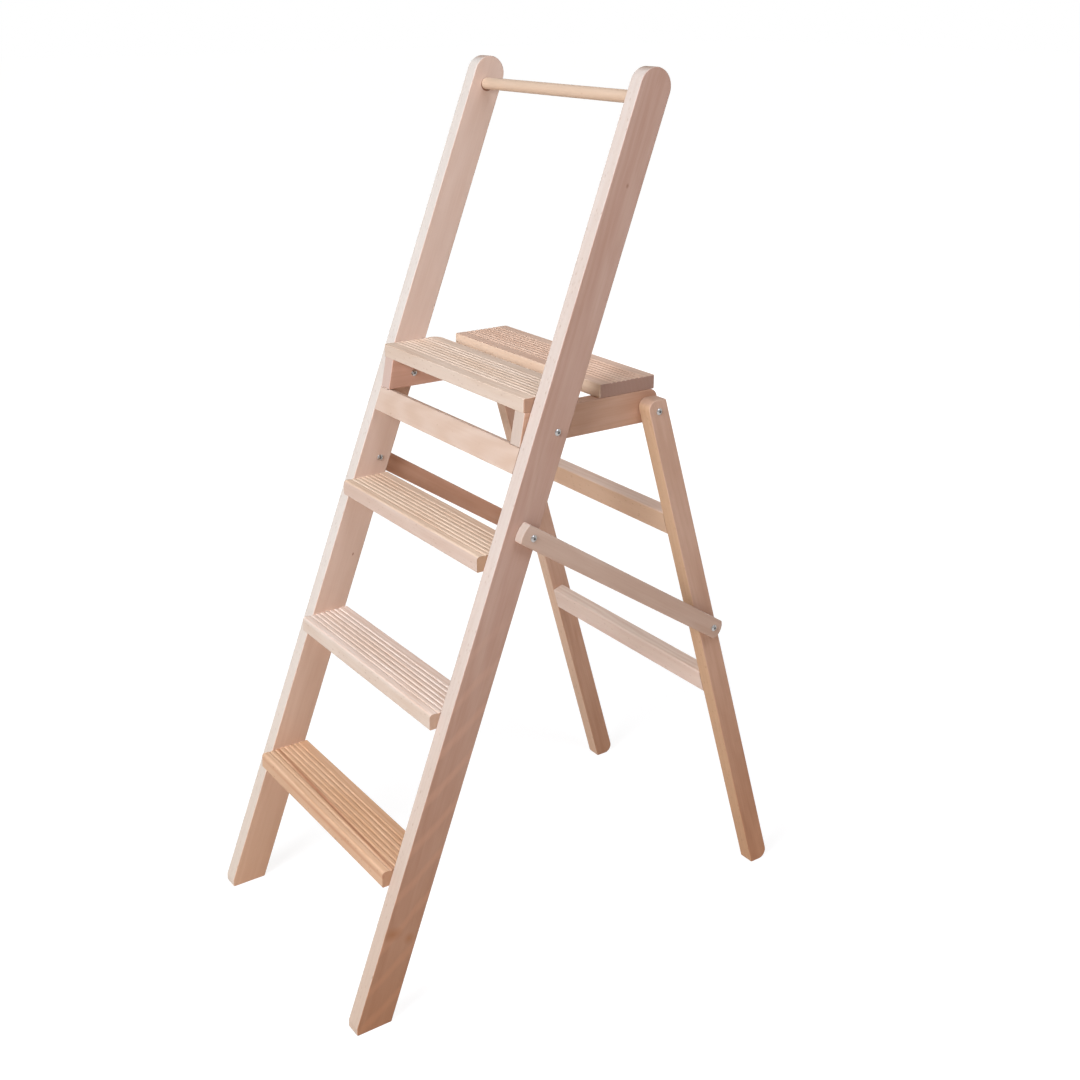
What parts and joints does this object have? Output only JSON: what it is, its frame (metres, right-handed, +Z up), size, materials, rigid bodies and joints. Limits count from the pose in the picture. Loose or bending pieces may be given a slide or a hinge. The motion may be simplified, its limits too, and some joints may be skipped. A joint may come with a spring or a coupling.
{
  "type": "step ladder",
  "caption": "Free-standing wooden step ladder: leaning stiles carry grooved treads, a two-board platform and a hand rod, and a braced rear frame folds flat behind them.",
  "frame": {"origin": "on the floor, midway across the ladder and midway between the foremost and rearmost points of the feet", "axes": "+X to the right of someone facing the treads, +Y to the rear, +Z up"},
  "size_m": [0.4892, 0.815, 1.3734],
  "materials": {
    "beech": "sanded, unvarnished beech, faint satin",
    "beech_dark": "sanded, warmer and darker beech board",
    "beech_rod": "turned and sanded beech",
    "dowel_beech": "fluted dowel stock, glued and hidden",
    "zinc_steel": "bright zinc-plated steel"
  },
  "bodies": {
    "front_frame": {"stile_left": "beech", "stile_right": "beech", "step_1": "beech_dark", "step_2": "beech", "step_3": "beech", "step_dowels": "dowel_beech", "front_cross_rail": "beech", "front_rail_dowels": "dowel_beech", "hand_rod": "beech_rod", "arm_pivot_sleeves": "zinc_steel", "arm_pivot_screws": "zinc_steel", "brace_pivot_sleeves": "zinc_steel", "brace_pivot_screws": "zinc_steel"},
    "platform": {"arm_left": "beech", "arm_right": "beech", "platform_front_board": "beech", "platform_rear_board": "beech", "board_dowels": "dowel_beech"},
    "rear_frame": {"leg_left": "beech", "leg_right": "beech", "upper_rear_rail": "beech", "lower_rear_rail": "beech", "rear_rail_dowels": "dowel_beech", "leg_pivot_sleeves": "zinc_steel", "leg_pivot_screws": "zinc_steel", "brace_end_sleeves": "zinc_steel"},
    "brace_bar_left": {"brace_left": "beech", "brace_end_screw_left": "zinc_steel"},
    "brace_bar_right": {"brace_right": "beech", "brace_end_screw_right": "zinc_steel"}
  },
  "joints": [
    {"name": "platform_fold", "type": "hinge", "parent": "front_frame", "child": "platform", "pos_m": [0, -0.06031, 0.8522], "axis": [-1, 0, 0], "range_deg": [0, 95]},
    {"name": "rear_frame_fold", "type": "hinge", "parent": "platform", "child": "rear_frame", "pos_m": [0, 0.13299, 0.8522], "axis": [1, 0, 0], "range_deg": [0, 59.5]},
    {"name": "brace_left_fold", "type": "hinge", "parent": "front_frame", "child": "brace_bar_left", "pos_m": [0, -0.11366, 0.70561], "axis": [-1, 0, 0], "range_deg": [0, 69.6]},
    {"name": "brace_right_fold", "type": "hinge", "parent": "front_frame", "child": "brace_bar_right", "pos_m": [0, -0.11366, 0.70561], "axis": [-1, 0, 0], "range_deg": [0, 69.6]}
  ],
  "couplings": [
    {"joint": "rear_frame_fold", "follows": "platform_fold", "ratio": 0.6253},
    {"joint": "brace_left_fold", "follows": "platform_fold", "ratio": 0.7317},
    {"joint": "brace_right_fold", "follows": "platform_fold", "ratio": 0.7317}
  ]
}
